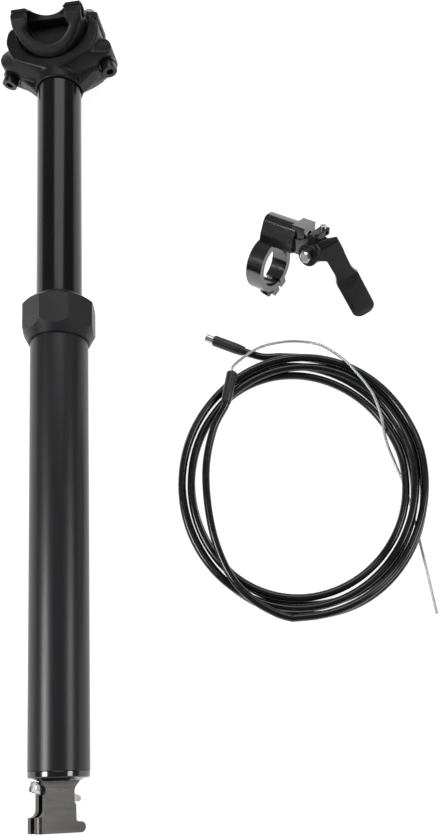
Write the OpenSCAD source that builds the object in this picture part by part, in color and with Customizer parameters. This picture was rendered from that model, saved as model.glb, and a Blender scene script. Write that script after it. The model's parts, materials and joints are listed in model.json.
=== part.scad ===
// Dropper seatpost kit laid out on a table: the post, its handlebar remote and its coiled control cable.
// The post is drawn about its own axis, with z = 0 at the lower rim of its collar, and then laid along +Y.

/* [Outer tube] */
// Outside diameter of the tube that slides into the frame's seat tube
tube_d = 31.6; // [31:0.1:33.9]
// Wall of the tube
tube_wall = 1.8; // [1.7:0.1:2]
// Length of tube from the collar's lower rim down to the foot ring
tube_len = 230.5; // [215:0.5:290]

/* [Stanchion] */
// Outside diameter of the stanchion
stanchion_d = 25; // [24.6:0.1:25.2]
// Wall of the stanchion
stanchion_wall = 2; // [1.9:0.1:2.3]
// Drop of the saddle from fully up to fully down
travel = 125; // [100:5:135]
// Stanchion still showing at the bottom of the drop
travel_reserve = 5; // [3:0.5:10]

/* [Collar] */
// Width across two opposite flats of the collar
collar_af = 38; // [36:0.5:42]
// Height of the collar
collar_h = 25; // [24.5:0.5:30]
// Height of the bevel under the flats
collar_lower_bevel = 8; // [5:0.5:10]
// Height of the bevel above the flats
collar_upper_bevel = 5; // [3:0.5:6]

/* [Head] */
// Turn of the head about the post
head_roll = -9; // [-20:1:20]
// Diameter of a saddle rail
rail_d = 7; // [6.8:0.1:7.4]
// Distance between the two saddle rails
rail_spacing = 44; // [43:0.5:46]
// Height of the rails above the head's neck rim
rail_rise = 32.5; // [32:0.5:35]
// Radius of the round underside of the saddle cradle
cradle_r = 20.5; // [20:0.25:20.75]
// Metal outside each rail
rail_lip = 1.5; // [1:0.25:3]
// Width of the head across its trough
head_w = 29; // [25:1:31]
// Lean of the two clamp bolts towards each other
bolt_tilt = 18; // [17:0.5:19]
// Shank diameter of the clamp bolts
bolt_d = 5; // [4.6:0.1:5.4]

/* [Foot] */
// Turn of the cable actuator about the post
foot_roll = 35; // [0:1:40]
// Height of the foot ring
foot_ring_h = 3.4; // [3:0.2:6]
// Length of the threaded plug inside the tube
plug_len = 13; // [11:0.5:16]
// Height of the actuator bracket
bracket_h = 25.8; // [25:0.2:30]
// Thickness of each of the bracket's plates
plate_t = 3.8; // [3.6:0.1:4]
// Width of the slot between the plates
slot_w = 4.4; // [4.2:0.1:4.8]

/* [Remote] */
// Diameter of the handlebar
bar_d = 22.2; // [21.8:0.1:22.6]
// Wall of the clamp ring
ring_wall = 3.3; // [3:0.1:3.6]
// Width of the clamp ring along the bar
ring_w = 10; // [9:0.5:11]
// Length of the lever's arm from its elbow to the paddle
arm_len = 23.6; // [20:0.4:26]
// Length of the thumb paddle
paddle_len = 27.5; // [22:0.5:28]
// Width of the thumb paddle
paddle_w = 12.6; // [11.4:0.2:13.4]

/* [Cable] */
// Outside diameter of the cable housing
housing_d = 4.2; // [3.8:0.1:4.4]
// Diameter of the inner wire
wire_d = 1.6; // [1.2:0.1:1.8]
// Radius of the coil at the outer end of its lower layer
coil_r = 69; // [68:0.2:70]
// Turns of housing in the upper layer of the coil
upper_turns = 2.25; // [2.2:0.01:2.3]

/* [Hidden] */
$fn = 64;

// Clearances
fit_gap = 0.05;
slide_gap = 0.06;
run_gap = 0.3;
cut = 0.5;

// Radii of the telescoping pieces
tube_r = tube_d / 2;
thread_r = tube_r - 0.3;
bore_r = tube_r - tube_wall;
stan_r = stanchion_d / 2;
stan_bore_r = stan_r - stanchion_wall;

// Heights along the post
foot_z = -tube_len;
ring_z = foot_z - foot_ring_h;
neck_h = 1.5;
seat_z = ring_z - neck_h;
head_z = collar_h + travel + travel_reserve;
rail_z = head_z + rail_rise;
bottom_gap = 4.5;
stan_foot_z = foot_z + plug_len + bottom_gap + travel;
socket_depth = 4;
spigot_len = 25;

// Collar, bushes and wiper
tube_top_z = collar_h - 8;
flange_h = 1.4;
shelf_z = tube_top_z + flange_h + fit_gap;
shelf_h = 1;
wiper_seat_r = stan_r + 1.4;
wiper_lip_h = 1.2;
collar_rim_r = tube_r + 1.1;
collar_top_r = wiper_seat_r + 0.8;
collar_corner_r = collar_af / 2 / cos(22.5);
bush_len = 20;
lower_bush_len = 12;
bush_step = 0.5;
bush_slit = 1.2;

// Guide keys
key_w = 4;
key_len = 14;
key_r_in = stan_r - 1.2;
key_r_out = bore_r + 0.6;
key_z = stan_foot_z + lower_bush_len + 4;
keyway_top_z = -20;
key_count = 3;

// Gas cartridge inside the stanchion
cyl_r = stan_bore_r - 0.3;
cyl_wall = 1.8;
cyl_cap = 6;
retainer_h = 4.6;
retainer_bore_r = 5.5;
gland_h = 12;
piston_h = 10;
piston_gap = 2;
rod_r = 4;
rod_bore_r = 1.75;
rod_spigot_r = 2.95;
cyl_z = stan_foot_z + retainer_h + fit_gap;
piston_z = cyl_z + gland_h + piston_gap;
cyl_len = gland_h + piston_gap + piston_h + travel + 6 + cyl_cap;
rod_foot_z = foot_z - 1.6;

// Head, in millimetres above the neck rim
neck_r = stan_r + 1.1;
trough_r = cradle_r + run_gap;
wall_top = rail_rise + 1;
lug_x = 27;
lug_up = 19.2;
lug_r = 5.8;
bolt_seat_x = 28.2;
bolt_seat_z = 14.6;
bolt_r = bolt_d / 2;
bolt_head_r = bolt_r * 1.7;
bolt_head_h = bolt_d;
washer_h = 1.2;
washer_r = bolt_head_r + 0.7;
nut_up = 9;
nut_s = (rail_rise + nut_up - bolt_seat_z) / cos(bolt_tilt);
nut_x = bolt_seat_x - nut_s * sin(bolt_tilt);
nut_r = 4.2;
nut_len = 15;
nut_play = 0.8;
bolt_len = nut_s + nut_r + 1.2;
clamp_half = rail_spacing / 2 + rail_d / 2 + rail_lip;
clamp_split = 0.4;
clamp_top = 2.6;
saddle_low = 4.3;
saddle_r = 13.1;
beam_low = 4.2;
scoop_r = 12.8;
scoop_z = -4.6;
scoop_back = 13.2;
bolt_room = 1.1;

// Laying the post on its foot ring and the corner of its saddle clamp
rim_bevel = 0.5;
reach = clamp_half * cos(head_roll) + cradle_r * abs(sin(head_roll));
lay_pitch = atan((reach - tube_r) / (rail_z + clamp_top - ring_z - rim_bevel));
floor_z = -tube_r * cos(lay_pitch) + (ring_z + rim_bevel) * sin(lay_pitch);

// Actuator, below the neck of the foot: two plates behind each other, with the rocker in the slot between them
front_y = -2.6;
slot_y = front_y + plate_t;
back_y = slot_y + slot_w;
bracket_back = back_y + plate_t;
stem_left = 8.4;
stem_right = 7.6;
stem_low = 8.6;
toe_left = 12.7;
toe_right = 13.95;
toe_left_h = 8;
toe_right_h = 5.5;
flare = 10.6;
flare_h = 3.6;
rocker_at = [-3.4, -5];
rocker_tilt = 14.7;
rocker_side = 0.2;
rocker_pin_r = 1.5;
rocker_arm = 10.5;
rocker_tail = 17.1;
arm_top = 3;
pad_y = -0.6;
release_r = 1.2;
release_tip_r = 0.3;
release_len = 44;

// Remote, about the middle of its bar clamp, with x along the bar and z along the lever's pivot
remote_turn = [63.4, -19.3, -35.2];
remote_at = [117, 49.8, floor_z + 15.3];
bar_r = bar_d / 2;
ring_r = bar_r + ring_wall;
split_turn = 22;
split_gap = 2;
ear_out = 3.8;
ear_t = 4.6;
band_r = 1.9;
band_at = ring_r + 0.3;
band_seat = ear_t + split_gap / 2 - 0.3;
ear_half = ring_w / 2 - 0.4;
cable_at = [22, -6];
cable_block = 10;
end_block = cable_block / 2 + 0.4;
cable_end_x = 22.5;
pivot_at = [31, 18];
pivot_r = 2.2;
hub_r = 6;
lug_z = [-7, 0.7];
hub_z = [1, 8];
bush_wall = 0.8;
pivot_head_r = 3.5;
pivot_head_h = 2.6;
elbow_at = [41.5, 24.5, 2.5];
blade_turn = [-44.7, 26.1, -73.7];
arm_w = 11;
blade_t = 3.6;
paddle_t = 4.4;
pad_t = 1.5;
pad_rib = 0.5;
pad_ribs = 10;
tab_half = 2.6;
tab_in = 6.6;
tab_out = 10.4;
pinch_r = 1.4;

// Coil of housing: the lower layer winds in, climbs over its last half turn, and the upper layer winds out
coil_at = [130.2, -77.6];
coil_stretch = 1.105;
coil_pitch = housing_d + 0.95;
coil_rise = housing_d + 0.75;
coil_wave = 1.2;
coil_turn_in = 2.25;
climb_from = coil_turn_in - 0.25;
climb_turns = 0.5;
lift_turns = 0.2;
hump_h = wire_d + 0.6;
hump_at = -9;
hump_flat = 19;
hump_fall = 20;
rings_per_turn = 24;
coil_sides = 6;
housing_r = housing_d / 2;
wire_r = wire_d / 2;
boot_r = housing_r + 0.95;
boot_len = 18.6;
boot_over = 12;
head_r = 2.25;
head_len = 4.5;
lead_from = [84.6, 9.9];
lead_run = [17.3, -7.5];
tail_out = [4.4, 19.2];

// Small helpers
function unit(v) = v / norm(v);
function arc(c, r, a0, a1, n) = [for (i = [0:n]) let (a = a0 + (a1 - a0) * i / n) c + r * [cos(a), sin(a)]];
function turn_to(a0, a1) = a0 + ((a1 - a0 + 540) % 360) - 180;
function smooth(x) = let (c = max(0, min(1, x))) c * c * (3 - 2 * c);

// Arc that rounds the corner q between p and s with radius r
function corner(p, q, s, r, n) =
  r == 0 ? [q] :
  let (u = unit(p - q), v = unit(s - q), half = acos(u * v) / 2)
  let (c = q + unit(u + v) * r / sin(half))
  let (a = q + u * r / tan(half) - c, b = q + v * r / tan(half) - c)
  let (a0 = atan2(a[1], a[0]))
  arc(c, r, a0, turn_to(a0, atan2(b[1], b[0])), n);

// Outline with each corner rounded by its own radius
function rounded(pts, radii, n = 5) =
  let (m = len(pts))
  [for (i = [0:m - 1]) each corner(pts[(i + m - 1) % m], pts[i], pts[(i + 1) % m], radii[i], n)];

function flipped(v) = [for (i = [len(v) - 1:-1:0]) v[i]];
function mirrored(pts) = concat(pts, [for (p = flipped(pts)) [-p[0], p[1]]]);
function twice(v) = concat(v, flipped(v));

// Smooth line through hand-placed points, with k steps between neighbours
function between(a, b, c, d, t) =
  0.5 * (2 * b + (c - a) * t + (2 * a - 5 * b + 4 * c - d) * t * t + (3 * b - a - 3 * c + d) * t * t * t);
function through(p, k) = concat(
  [for (i = [0:len(p) - 2], j = [0:k - 1])
    between(p[max(i - 1, 0)], p[i], p[i + 1], p[min(i + 2, len(p) - 1)], j / k)],
  [p[len(p) - 1]]);

// Tube of n flat sides along a line of points
function heading(p, i) = unit(p[min(i + 1, len(p) - 1)] - p[max(i - 1, 0)]);
function tube_points(p, r, n) = [
  for (i = [0:len(p) - 1])
    let (t = heading(p, i), s = unit(cross(t, [0, 0, 1])), u = cross(s, t))
    for (j = [0:n - 1]) p[i] + r * cos(360 / n * j) * s + r * sin(360 / n * j) * u
];
function tube_faces(m, n) = concat(
  [for (i = [0:m - 2], j = [0:n - 1]) [i * n + j, i * n + (j + 1) % n, (i + 1) * n + j]],
  [for (i = [0:m - 2], j = [0:n - 1]) [i * n + (j + 1) % n, (i + 1) * n + (j + 1) % n, (i + 1) * n + j]],
  [for (j = [1:n - 2]) [0, j + 1, j]],
  [for (j = [1:n - 2]) [(m - 1) * n, (m - 1) * n + j, (m - 1) * n + j + 1]]);

module line_tube(p, r, n) {
  polyhedron(tube_points(p, r, n), tube_faces(len(p), n), convexity = 10);
}

// A slab from an outline in x and z, w thick about y = 0
module slab_y(w, pts) {
  rotate([90, 0, 0]) linear_extrude(w, center = true) polygon(pts);
}

// A slab from an outline in x and z, between two depths in y
module slab_between(y0, y1, pts) {
  translate([0, y1, 0]) rotate([90, 0, 0]) linear_extrude(y1 - y0) polygon(pts);
}

// A slab from an outline in y and z, w long about x = 0
module slab_x(w, pts) {
  rotate([90, 0, 90]) linear_extrude(w, center = true) polygon(pts);
}

module rod_y(r, l) {
  rotate([90, 0, 0]) cylinder(r = r, h = l, center = true);
}

module rod_x(r, l) {
  rotate([0, 90, 0]) cylinder(r = r, h = l, center = true);
}

module ring(r_in, r_out, z0, h) {
  translate([0, 0, z0]) difference() {
    cylinder(r = r_out, h = h);
    translate([0, 0, -cut]) cylinder(r = r_in, h = h + 2 * cut);
  }
}

module both_ends() {
  children();
  mirror([1, 0, 0]) children();
}

module box(x0, x1, y0, y1, z0, z1) {
  translate([x0, y0, z0]) cube([x1 - x0, y1 - y0, z1 - z0]);
}

// Frames of the groups
module lay() {
  rotate([lay_pitch - 90, 0, 0]) children();
}

module head_frame() {
  lay() translate([0, 0, head_z]) rotate([0, 0, head_roll]) children();
}

module rail_frame() {
  head_frame() translate([0, 0, rail_rise]) children();
}

module on_bolt() {
  translate([bolt_seat_x, 0, bolt_seat_z]) rotate([0, -bolt_tilt, 0]) children();
}

module foot_frame() {
  lay() translate([0, 0, seat_z]) rotate([0, 0, foot_roll]) children();
}

module remote_frame() {
  translate(remote_at) rotate(remote_turn) children();
}

module pivot_frame() {
  remote_frame() translate([pivot_at[0], pivot_at[1], 0]) children();
}

module blade_frame() {
  remote_frame() translate(elbow_at) rotate(blade_turn) children();
}

// Outer tube with three keyways broached inside, turned down at the top for the collar's thread
module outer_tube() {
  groove = 2 * slide_gap;
  color("#1b1b1d") lay() difference() {
    union() {
      translate([0, 0, foot_z]) cylinder(r = tube_r, h = -fit_gap - foot_z);
      translate([0, 0, -cut]) cylinder(r = thread_r, h = tube_top_z + cut);
    }
    translate([0, 0, foot_z - cut]) cylinder(r = bore_r, h = tube_top_z - foot_z + 2 * cut);
    for (i = [0:key_count - 1])
      rotate([0, 0, 360 / key_count * i])
        box(key_r_in, key_r_out + groove, -key_w / 2 - groove, key_w / 2 + groove, foot_z + plug_len, keyway_top_z);
  }
}

// Eight-sided collar screwed over the top of the tube
module collar_nut() {
  far_r = collar_corner_r + 0.6;
  color("#18181a") lay() difference() {
    intersection() {
      rotate([0, 0, 22.5]) cylinder(r = collar_corner_r, h = collar_h, $fn = 8);
      rotate_extrude() polygon([
        [0, 0], [collar_rim_r, 0], [far_r, collar_lower_bevel],
        [far_r, collar_h - collar_upper_bevel], [collar_top_r, collar_h], [0, collar_h]
      ]);
    }
    translate([0, 0, -cut]) cylinder(r = thread_r + fit_gap, h = shelf_z + cut);
    translate([0, 0, shelf_z - cut]) cylinder(r = stan_r + 0.5, h = collar_h);
    translate([0, 0, shelf_z + shelf_h]) cylinder(r = wiper_seat_r, h = collar_h);
  }
}

// Rubber wiper pressed into the collar, with its lip above the collar's top
module wiper_seal() {
  z0 = shelf_z + shelf_h;
  r0 = stan_r + slide_gap;
  color("#101011") lay() rotate_extrude() polygon([
    [r0 + 0.4, z0], [wiper_seat_r - fit_gap, z0], [wiper_seat_r - fit_gap, collar_h - 0.6],
    [r0 + 0.7, collar_h], [r0 + 0.35, collar_h + wiper_lip_h], [r0, collar_h + wiper_lip_h],
    [r0, collar_h - 1], [r0 + 0.4, collar_h - 1.6]
  ]);
}

// Slit bush with a flange that rests on the tube's upper end
module upper_bushing() {
  color("#b9a36b") lay() difference() {
    union() {
      ring(stan_r + slide_gap, bore_r - fit_gap, tube_top_z - bush_len, bush_len);
      ring(stan_r + slide_gap, tube_r - 0.8, tube_top_z, flange_h);
    }
    box(0, tube_r, -bush_slit / 2, bush_slit / 2, tube_top_z - bush_len - cut, tube_top_z + flange_h + cut);
  }
}

// Threaded plug, foot ring and the shallow neck that the actuator bracket is fixed under
module foot_cap() {
  color("#0f0f10") lay() difference() {
    union() {
      rotate_extrude() polygon([
        [0, seat_z], [flare + 0.3, seat_z], [flare + 1.2, seat_z + 0.55], [flare + 2.6, ring_z - 0.45],
        [tube_r - rim_bevel, ring_z], [tube_r, ring_z + rim_bevel], [tube_r, foot_z - 0.3],
        [tube_r - 0.3, foot_z], [0, foot_z]
      ]);
      translate([0, 0, foot_z - cut]) cylinder(r = bore_r - fit_gap, h = plug_len + cut);
    }
    translate([0, 0, rod_foot_z]) cylinder(r = rod_r + fit_gap, h = plug_len + 5);
    translate([0, 0, seat_z - cut]) cylinder(r = rod_bore_r, h = foot_ring_h + neck_h + 2);
  }
}

// Hollow piston rod that stands in the foot plug
module cartridge_rod() {
  color("#c9cbcd") lay() difference() {
    union() {
      translate([0, 0, rod_foot_z]) cylinder(r = rod_r, h = piston_z - rod_foot_z);
      translate([0, 0, piston_z - cut]) cylinder(r = rod_spigot_r, h = piston_h + cut);
    }
    translate([0, 0, rod_foot_z - cut]) cylinder(r = rod_bore_r, h = release_len + 8);
  }
}

// Piston on the rod's spigot
module cartridge_piston() {
  color("#8d8f92") lay() ring(rod_spigot_r + fit_gap, cyl_r - cyl_wall - slide_gap, piston_z, piston_h);
}

// Brushed bracket: two plates with an inverted T foot and the slot that the rocker swings in
module actuator_bracket() {
  low = -bracket_h;
  outline = rounded([
    [-flare, 0], [flare, 0], [stem_right, -flare_h], [stem_right, rocker_at[1] - 5.4], [stem_low, rocker_at[1] - 7],
    [stem_low, low + toe_right_h], [toe_right, low + toe_right_h], [toe_right, low], [-toe_left, low],
    [-toe_left, low + toe_left_h], [-stem_left, low + toe_left_h], [-stem_left, -flare_h]
  ], [0, 0, 3, 0.6, 0.6, 1.5, 2.7, 2.7, 0.4, 0.4, 3.7, 3]);
  color("#a7a9ab") foot_frame() difference() {
    intersection() {
      slab_between(front_y, bracket_back, outline);
      translate([0, 0, low - cut]) cylinder(r = tube_r - 0.2, h = bracket_h + 2 * cut);
    }
    // Slot from the left edge, narrower below so that a web joins the plates
    box(-20, 4.5, slot_y, back_y, -14, -1.05);
    box(-20, -3, slot_y, back_y, low - cut, -13);
    // Window for the rocker's tail on the right
    box(0, 20, slot_y, back_y, rocker_at[1] - 7.2, -1.6);
    // Open corner of the rear plate round the rocker's head
    box(-20, rocker_at[0] - 2.8, slot_y, bracket_back + cut, rocker_at[1], cut);
    // Pocket in the front plate for the rocker's lifting pad
    box(rocker_at[0], 3.2, pad_y - run_gap, slot_y + cut, rocker_at[1] - 3, -1.4);
    // Blind hole for the rocker's pin and passage for the release pin
    translate([rocker_at[0], bracket_back + cut, rocker_at[1]]) rotate([90, 0, 0])
      cylinder(r = rocker_pin_r + fit_gap, h = bracket_back - slot_y + 2.4 + cut);
    translate([0, 0, -6]) cylinder(r = rod_bore_r, h = 6 + cut);
    // Shallow band milled across the front
    box(-stem_left - cut, stem_low + cut, front_y - cut, front_y + 0.2, -16, -5);
    // Rounded front corner of the left toe
    difference() {
      box(-toe_left - cut, -toe_left + 3, front_y - cut, front_y + 3, low - cut, low + toe_left_h + cut);
      translate([3 - toe_left, front_y + 3, low - 1]) cylinder(r = 3, h = toe_left_h + 2);
    }
  }
}

// Cross pin that the rocker turns on
module rocker_pin() {
  color("#d0d2d4") foot_frame() translate([rocker_at[0], bracket_back - 0.1, rocker_at[1]]) rotate([90, 0, 0])
    cylinder(r = rocker_pin_r, h = bracket_back - slot_y + 2.2);
}

// Steel rocker: the cable's head seats in its left end, and the pad on its right arm lifts the release pin
module release_rocker() {
  outline = rounded([
    [-rocker_arm, -2.5], [-rocker_arm, 2.6], [-5, 2.7], [0, arm_top], [6.5, arm_top],
    [rocker_tail, 1.3], [rocker_tail, -1.3], [4, -3.2], [-4, -3.2]
  ], [0.7, 0.7, 1, 0, 1, 1.25, 1.25, 2, 2]);
  color("#e2e3e4") foot_frame() translate([rocker_at[0], 0, rocker_at[1]]) rotate([0, rocker_tilt, 0]) difference() {
    union() {
      slab_between(slot_y + rocker_side, back_y - rocker_side, outline);
      box(1.9, 6, pad_y, slot_y + 1, -0.5, arm_top);
    }
    translate([0, slot_y + slot_w / 2, 0]) rod_y(rocker_pin_r + slide_gap, slot_w + 2);
    translate([2.6 - rocker_arm, slot_y + slot_w / 2, 0]) rod_y(1.5, slot_w + 2);
    box(-rocker_arm - cut, 2.6 - rocker_arm, slot_y + slot_w / 2 - 0.6, slot_y + slot_w / 2 + 0.6, -3, 0);
  }
}

// Pin that opens the cartridge's valve, standing just above the rocker's pad
module release_pin() {
  color("#cfd1d3") foot_frame() translate([0, 0, rocker_at[1] + 2.44]) rotate_extrude() polygon([
    [0, 0], [release_tip_r, 0], [release_r, release_r - release_tip_r], [release_r, release_len], [0, release_len]
  ]);
}

// Polished stanchion with the groove for its lower bush and the slots for its keys
module stanchion() {
  color("#0b0b0d") lay() difference() {
    translate([0, 0, stan_foot_z]) cylinder(r = stan_r, h = head_z + socket_depth - stan_foot_z);
    translate([0, 0, stan_foot_z - cut]) cylinder(r = stan_bore_r, h = head_z + socket_depth - stan_foot_z + 2 * cut);
    ring(stan_r - bush_step, tube_r, stan_foot_z - cut, lower_bush_len + 1 + cut);
    for (i = [0:key_count - 1])
      rotate([0, 0, 360 / key_count * i])
        box(key_r_in - fit_gap, tube_r, -key_w / 2 - fit_gap, key_w / 2 + fit_gap,
          key_z - fit_gap, key_z + key_len + fit_gap);
  }
}

// Forged head: a neck that fans out into two bolt wings, a keel under each, and the trough of the saddle cradle
module post_head() {
  walls = rounded(
    mirrored([[22, 13], [25.2, 18.5], [27.3, 25], [26.6, 30], [24.8, wall_top]]),
    twice([2, 3, 5, 4, 1.5]));
  keel = mirrored([[neck_r - 0.2, 0.3], [22.4, 8.6], [25, 16]]);
  color("#222224") head_frame() difference() {
    union() {
      cylinder(r1 = neck_r, r2 = neck_r + 0.6, h = 7);
      hull() {
        both_ends() translate([lug_x, 0, lug_up]) rod_y(lug_r, 16.4, $fn = 40);
        both_ends() translate([15, 0, 17]) rod_y(6.4, head_w, $fn = 40);
        translate([0, 0, 5.4]) cylinder(r = neck_r + 0.3, h = 1.2, $fn = 64);
      }
      slab_y(head_w, walls);
      slab_y(9, keel);
      translate([0, 0, -spigot_len]) cylinder(r = stan_bore_r - fit_gap, h = spigot_len + cut);
    }
    translate([0, 0, rail_rise]) rod_y(trough_r, head_w + 20);
    ring(stan_bore_r - fit_gap, stan_r + fit_gap, -cut, socket_depth + fit_gap + cut);
    both_ends() on_bolt() {
      translate([0, 0, -14]) cylinder(r = bolt_r + 0.4, h = 50);
      translate([0, 0, -14]) cylinder(r = washer_r + 0.4, h = 14);
    }
  }
}

// Slit bush in the groove at the foot of the stanchion
module lower_bushing() {
  color("#b9a36b") lay() difference() {
    ring(stan_r - bush_step + fit_gap, bore_r - slide_gap, stan_foot_z + 0.5, lower_bush_len);
    box(0, tube_r, -bush_slit / 2, bush_slit / 2, stan_foot_z - cut, stan_foot_z + lower_bush_len + 2);
  }
}

// Three brass keys that keep the stanchion from turning
module guide_keys() {
  color("#b08d3c") lay() for (i = [0:key_count - 1])
    rotate([0, 0, 360 / key_count * i])
      box(key_r_in, key_r_out, -key_w / 2, key_w / 2, key_z, key_z + key_len);
}

// Gas cylinder inside the stanchion, closed at its top
module cartridge_cylinder() {
  color("#77797c") lay() difference() {
    translate([0, 0, cyl_z]) cylinder(r = cyl_r, h = cyl_len);
    translate([0, 0, cyl_z - cut]) cylinder(r = cyl_r - cyl_wall, h = cyl_len - cyl_cap + cut);
  }
}

// Gland that guides the rod at the cylinder's lower end
module rod_gland() {
  color("#55575a") lay() ring(rod_r + slide_gap, cyl_r - cyl_wall - fit_gap, cyl_z, gland_h);
}

// Threaded ring that holds the cartridge in the stanchion
module cartridge_retainer() {
  color("#9a9c9f") lay() ring(retainer_bore_r, stan_bore_r - fit_gap, stan_foot_z, retainer_h);
}

// Two socket-head clamp bolts, heads down under the wings
module clamp_bolts() {
  low = -washer_h - bolt_head_h;
  color("#141415") head_frame() both_ends() on_bolt() difference() {
    union() {
      translate([0, 0, low]) cylinder(r = bolt_head_r, h = bolt_head_h);
      translate([0, 0, -washer_h - cut]) cylinder(r = bolt_r, h = bolt_len + washer_h + cut);
    }
    translate([0, 0, low - cut]) cylinder(r = bolt_head_r * 0.54, h = bolt_head_h * 0.6 + cut, $fn = 6);
  }
}

module bolt_washers() {
  color("#2a2a2c") head_frame() both_ends() on_bolt()
    ring(bolt_r + 0.15, washer_r, -washer_h, washer_h);
}

// Lower half of the saddle clamp: a round-bottomed cradle with scooped ends and rail grooves
module lower_cradle() {
  deep = cradle_r + 1;
  color("#1f1f21") rail_frame() difference() {
    intersection() {
      rod_y(cradle_r, 2 * clamp_half + 2);
      box(-deep, deep, -clamp_half - 1, clamp_half + 1, -deep, -clamp_split);
      slab_x(2 * deep, mirrored([[clamp_half, 0], [clamp_half, -3.4], [clamp_half - 12.4, -deep]]));
    }
    for (s = [-1, 1]) {
      translate([0, s * rail_spacing / 2, 0]) rod_x(rail_d / 2, 2 * deep);
      translate([0, s * (scoop_back + clamp_half / 2), scoop_z]) rod_y(scoop_r, clamp_half);
      translate([0, s * (scoop_back + clamp_half / 2), scoop_z + deep / 2])
        cube([2 * scoop_r, clamp_half, deep], center = true);
    }
    both_ends() translate([0, 0, -rail_rise]) on_bolt() cylinder(r = bolt_r + bolt_room, h = 60);
  }
}

// Upper half of the saddle clamp: rail lips with a scalloped edge, and two blocks that carry the barrel nuts
module upper_clamp() {
  scallop_r = 15.7;
  scallop_low = 3;
  beam_x = nut_x + nut_r + 1.8;
  beam = rounded(
    mirrored([[beam_x, beam_low], [beam_x, nut_up], [nut_x - nut_r - 1, nut_up + 2.4]]),
    twice([2, 1, 3]));
  color("#1f1f21") rail_frame() difference() {
    union() {
      slab_x(2 * cradle_r - 0.8, mirrored([
        [clamp_half, clamp_split], [clamp_half, clamp_top], [clamp_half - 4, clamp_top + 2.4],
        [clamp_half - 11, clamp_top + 2.6], [nut_len / 2 + 2, clamp_top + 4.6]
      ]));
      slab_y(nut_len + 4, beam);
    }
    for (s = [-1, 1]) {
      translate([0, s * rail_spacing / 2, 0]) rod_x(rail_d / 2, 2 * cradle_r + 2);
      translate([0, s * (clamp_half - 4), clamp_split - scallop_low + scallop_r]) rod_y(scallop_r, 10);
    }
    translate([0, 0, saddle_low + saddle_r]) rod_y(saddle_r, 4 * nut_len);
    both_ends() {
      translate([nut_x, 0, nut_up]) rod_y(nut_r + fit_gap, nut_len + 0.4);
      box(nut_x - nut_r - fit_gap, 60, -nut_len / 2 - 0.2, nut_len / 2 + 0.2, nut_up, nut_up + 20);
      translate([0, 0, -rail_rise]) on_bolt() cylinder(r = bolt_r + bolt_room, h = 80);
    }
  }
}

// Barrel nuts that the two clamp bolts screw into
module barrel_nuts() {
  color("#8f9194") head_frame() both_ends() difference() {
    translate([nut_x, 0, rail_rise + nut_up]) rod_y(nut_r, nut_len);
    on_bolt() cylinder(r = bolt_r + nut_play, h = 80);
  }
}

// Bar clamp of the remote with its cable stop and the lug that carries the lever
module remote_clamp() {
  half_block = cable_block / 2;
  ear_r = ring_r + ear_out;
  web = rounded([
    [ring_r - 4.5, 4.5 - ring_r], [ring_r - 1.6, 3.4], [18, 2.6],
    [cable_at[0] + half_block, cable_at[1] + half_block],
    [cable_at[0] + half_block, cable_at[1] - half_block], [16, cable_at[1] - half_block]
  ], [0, 1, 3, half_block - 0.4, half_block - 0.4, 3]);
  lug = rounded([
    [2, bar_r + 1.6], [pivot_at[0] + hub_r, bar_r + 1], [pivot_at[0] + hub_r, pivot_at[1] + hub_r],
    [pivot_at[0] - hub_r, pivot_at[1] + hub_r - 1], [20, 20.5], [2, 20.5]
  ], [0, hub_r - 0.7, hub_r - 0.7, 2, 2, 0], 8);
  color("#161618") remote_frame() difference() {
    union() {
      rod_x(ring_r, ring_w);
      translate([ring_w / 2 + 1.3, 0, 0]) slab_x(2 * ring_w + 1.4, web);
      translate([0, cable_at[0], cable_at[1]])
        box(cable_end_x - 8, cable_end_x, -end_block, end_block, -end_block, end_block);
      translate([0, 0, lug_z[0]]) linear_extrude(lug_z[1] - lug_z[0]) polygon(lug);
      rotate([split_turn, 0, 0])
        box(-ear_half, ear_half, -ear_r, -bar_r - 1, -ear_t - split_gap / 2, ear_t + split_gap / 2);
    }
    rod_x(bar_r, 90);
    // Split and the hole for its screw
    rotate([split_turn, 0, 0]) {
      box(-ring_w, ring_w, -ear_r - cut, 0, -split_gap / 2, split_gap / 2);
      translate([0, -band_at, 0]) cylinder(r = band_r + 0.15, h = 6 * ear_t, center = true);
      translate([0, -band_at, band_seat]) cylinder(r = band_r * 1.8 + run_gap, h = 20);
    }
    // Socket for the housing, passage for the wire and its mouth
    translate([0, cable_at[0], cable_at[1]]) {
      translate([-ring_w / 2, 0, 0]) rod_x(housing_r + 0.15, 20);
      rod_x(wire_r + 0.3, 80);
      translate([cable_end_x, 0, 0]) rod_x(2.2, 8);
    }
    translate([pivot_at[0], pivot_at[1], lug_z[0] - cut]) cylinder(r = pivot_r + fit_gap, h = 20);
  }
}

// Screw that closes the split of the bar clamp
module band_bolt() {
  top = band_seat;
  color("#1a1a1b") remote_frame() rotate([split_turn, 0, 0]) translate([0, -band_at, 0]) difference() {
    union() {
      translate([0, 0, -top]) cylinder(r = band_r, h = 2 * top + cut);
      translate([0, 0, top]) cylinder(r = band_r * 1.8, h = band_r * 1.6);
    }
    translate([0, 0, top + band_r * 0.6]) cylinder(r = band_r * 0.95, h = 10, $fn = 6);
  }
}

// Silver hexagon screw that the lever turns on
module pivot_bolt() {
  z1 = hub_z[1] + run_gap;
  color("#c4c6c8") pivot_frame() {
    translate([0, 0, lug_z[0]]) cylinder(r = pivot_r, h = z1 - lug_z[0] + cut);
    translate([0, 0, z1]) intersection() {
      cylinder(r = pivot_head_r, h = pivot_head_h, $fn = 6);
      rotate_extrude() polygon([
        [0, 0], [pivot_head_r, 0], [pivot_head_r, pivot_head_h - 0.9], [pivot_head_r - 1.2, pivot_head_h],
        [0, pivot_head_h]
      ]);
    }
  }
}

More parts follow.
